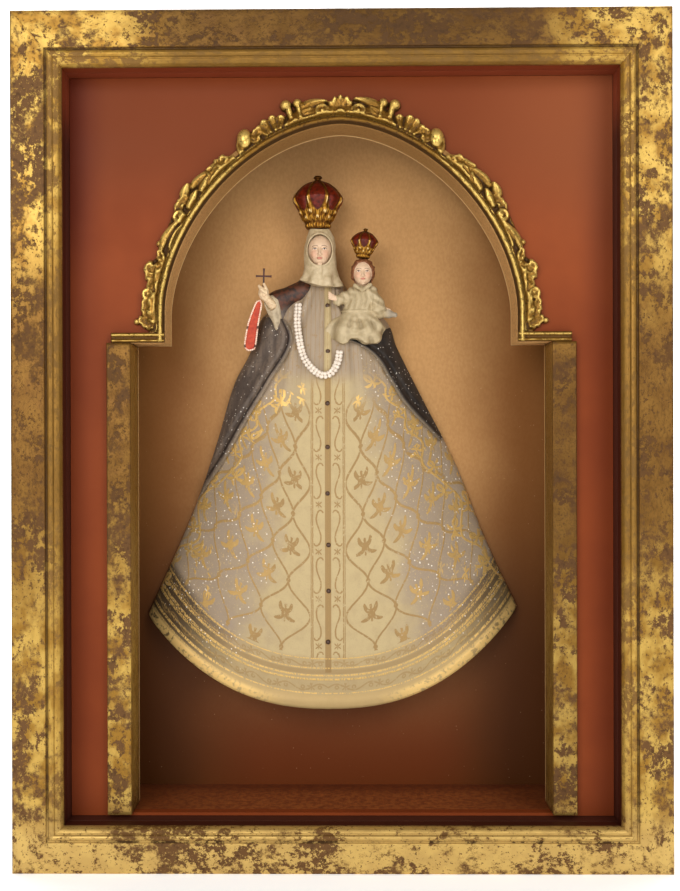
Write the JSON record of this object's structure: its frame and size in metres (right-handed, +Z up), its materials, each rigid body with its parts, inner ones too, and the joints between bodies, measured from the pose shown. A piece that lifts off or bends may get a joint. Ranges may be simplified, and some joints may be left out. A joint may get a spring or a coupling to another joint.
{
  "type": "crowned madonna figure in shadow-box frame",
  "caption": "Crowned Madonna with child, a painted relief figure fixed in a deep gilded shadow-box frame with a carved arch; stands on its flat base or hangs by its flat back.",
  "frame": {"origin": "middle of the box's width and depth, on the surface it stands on", "axes": "+Z up, the open front faces -Y, +X to the viewer's right"},
  "size_m": [0.505, 0.135, 0.66],
  "materials": {
    "gilt_frame": "worn leaf gilding over brown bole on wood",
    "gilt_carving": "bright leaf gilding on carved wood",
    "red_paint": "satin terracotta red paint on wood",
    "tan_paint": "satin tan paint on wood",
    "figure_paint": "painted and gilded carved wood",
    "crown_gilt": "gilded carving with a red painted cap",
    "dark_wood": "thin dark varnished wood",
    "red_cloth": "red cloth band edged with white beads",
    "pearl": "glossy pearl beads"
  },
  "bodies": {
    "root": {"frame_rail_left": "gilt_frame", "frame_rail_right": "gilt_frame", "frame_rail_top": "gilt_frame", "frame_rail_bottom": "gilt_frame", "case_side_left": "red_paint", "case_side_right": "red_paint", "case_top": "red_paint", "case_bottom": "red_paint", "back_panel": "tan_paint", "red_panel": "red_paint", "niche_floor": "red_paint", "pilaster_left": "gilt_frame", "pilaster_right": "gilt_frame", "arch_moulding": "gilt_carving", "madonna_and_child": "figure_paint", "madonna_crown": "crown_gilt", "child_crown": "crown_gilt", "hand_cross": "dark_wood", "scapular_loop": "red_cloth", "pearl_necklace": "pearl"}
  },
  "joints": []
}
